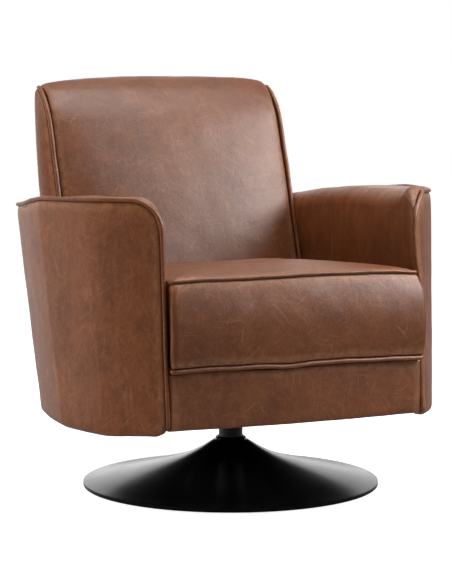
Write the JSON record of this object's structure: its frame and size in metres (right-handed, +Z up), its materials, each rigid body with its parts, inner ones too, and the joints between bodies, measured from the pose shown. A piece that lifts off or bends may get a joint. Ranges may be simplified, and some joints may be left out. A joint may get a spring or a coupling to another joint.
{
  "type": "swivel accent chair",
  "caption": "Leather tub armchair with a high back and a loose-look box seat cushion, turning on a round trumpet pedestal.",
  "frame": {"origin": "on the floor, at the swivel axis: the centre of the floor pad's underside", "axes": "+Z up along the swivel axis, the chair faces -Y, +X is to the right of someone who stands in front of it"},
  "size_m": [0.8306, 0.7976, 0.803],
  "materials": {
    "leather": "satin",
    "leather_cord": "satin",
    "black_steel": "satin",
    "zinc_steel": "satin",
    "bush_plastic": "matte",
    "base_pad": "matte",
    "timber": "matte",
    "black_cloth": "matte",
    "felt": "matte"
  },
  "bodies": {
    "pedestal": {"floor_pad": "base_pad", "weight_plate": "black_steel", "base_trumpet": "black_steel", "column_tube": "black_steel", "column_collar": "black_steel", "upper_bush": "bush_plastic", "lower_bush": "bush_plastic", "thrust_bearing": "zinc_steel"},
    "seat": {"spindle": "zinc_steel", "retaining_clip": "zinc_steel", "swivel_plate": "black_steel", "plate_bolt_front_left": "zinc_steel", "plate_bolt_front_right": "zinc_steel", "plate_bolt_rear_left": "zinc_steel", "plate_bolt_rear_right": "zinc_steel", "dust_cover": "black_cloth", "mounting_board_left": "timber", "mounting_board_right": "timber", "frame_front_rail": "timber", "frame_rear_rail": "timber", "frame_side_rail_left": "timber", "frame_side_rail_right": "timber", "corner_block_front_left": "timber", "corner_block_front_right": "timber", "corner_block_rear_left": "timber", "corner_block_rear_right": "timber", "arm_post_front_left": "timber", "arm_post_front_right": "timber", "arm_post_rear_left": "timber", "arm_post_rear_right": "timber", "arm_rail_left": "timber", "arm_rail_right": "timber", "back_post_left": "timber", "back_post_right": "timber", "back_top_rail": "timber", "back_lumbar_rail": "timber", "back_webbing_1": "black_cloth", "back_webbing_2": "black_cloth", "back_webbing_3": "black_cloth", "seat_spring_1": "zinc_steel", "seat_spring_2": "zinc_steel", "seat_spring_3": "zinc_steel", "seat_spring_4": "zinc_steel", "seat_deck": "felt", "outer_panel_left": "leather", "outer_panel_right": "leather", "arm_pad_left": "leather", "arm_pad_right": "leather", "arm_piping_left": "leather_cord", "arm_piping_right": "leather_cord", "outside_back_panel": "leather", "back_pad": "leather", "back_boxing_left": "leather", "back_boxing_right": "leather", "back_piping_left": "leather_cord", "back_piping_right": "leather_cord", "front_border": "leather", "seat_cushion": "leather", "cushion_piping_lower": "leather_cord", "cushion_piping_upper": "leather_cord"}
  },
  "joints": [
    {"name": "swivel", "type": "hinge", "parent": "pedestal", "child": "seat", "pos_m": [0, 0, 0.1], "axis": [0, 0, 1], "continuous": true}
  ]
}
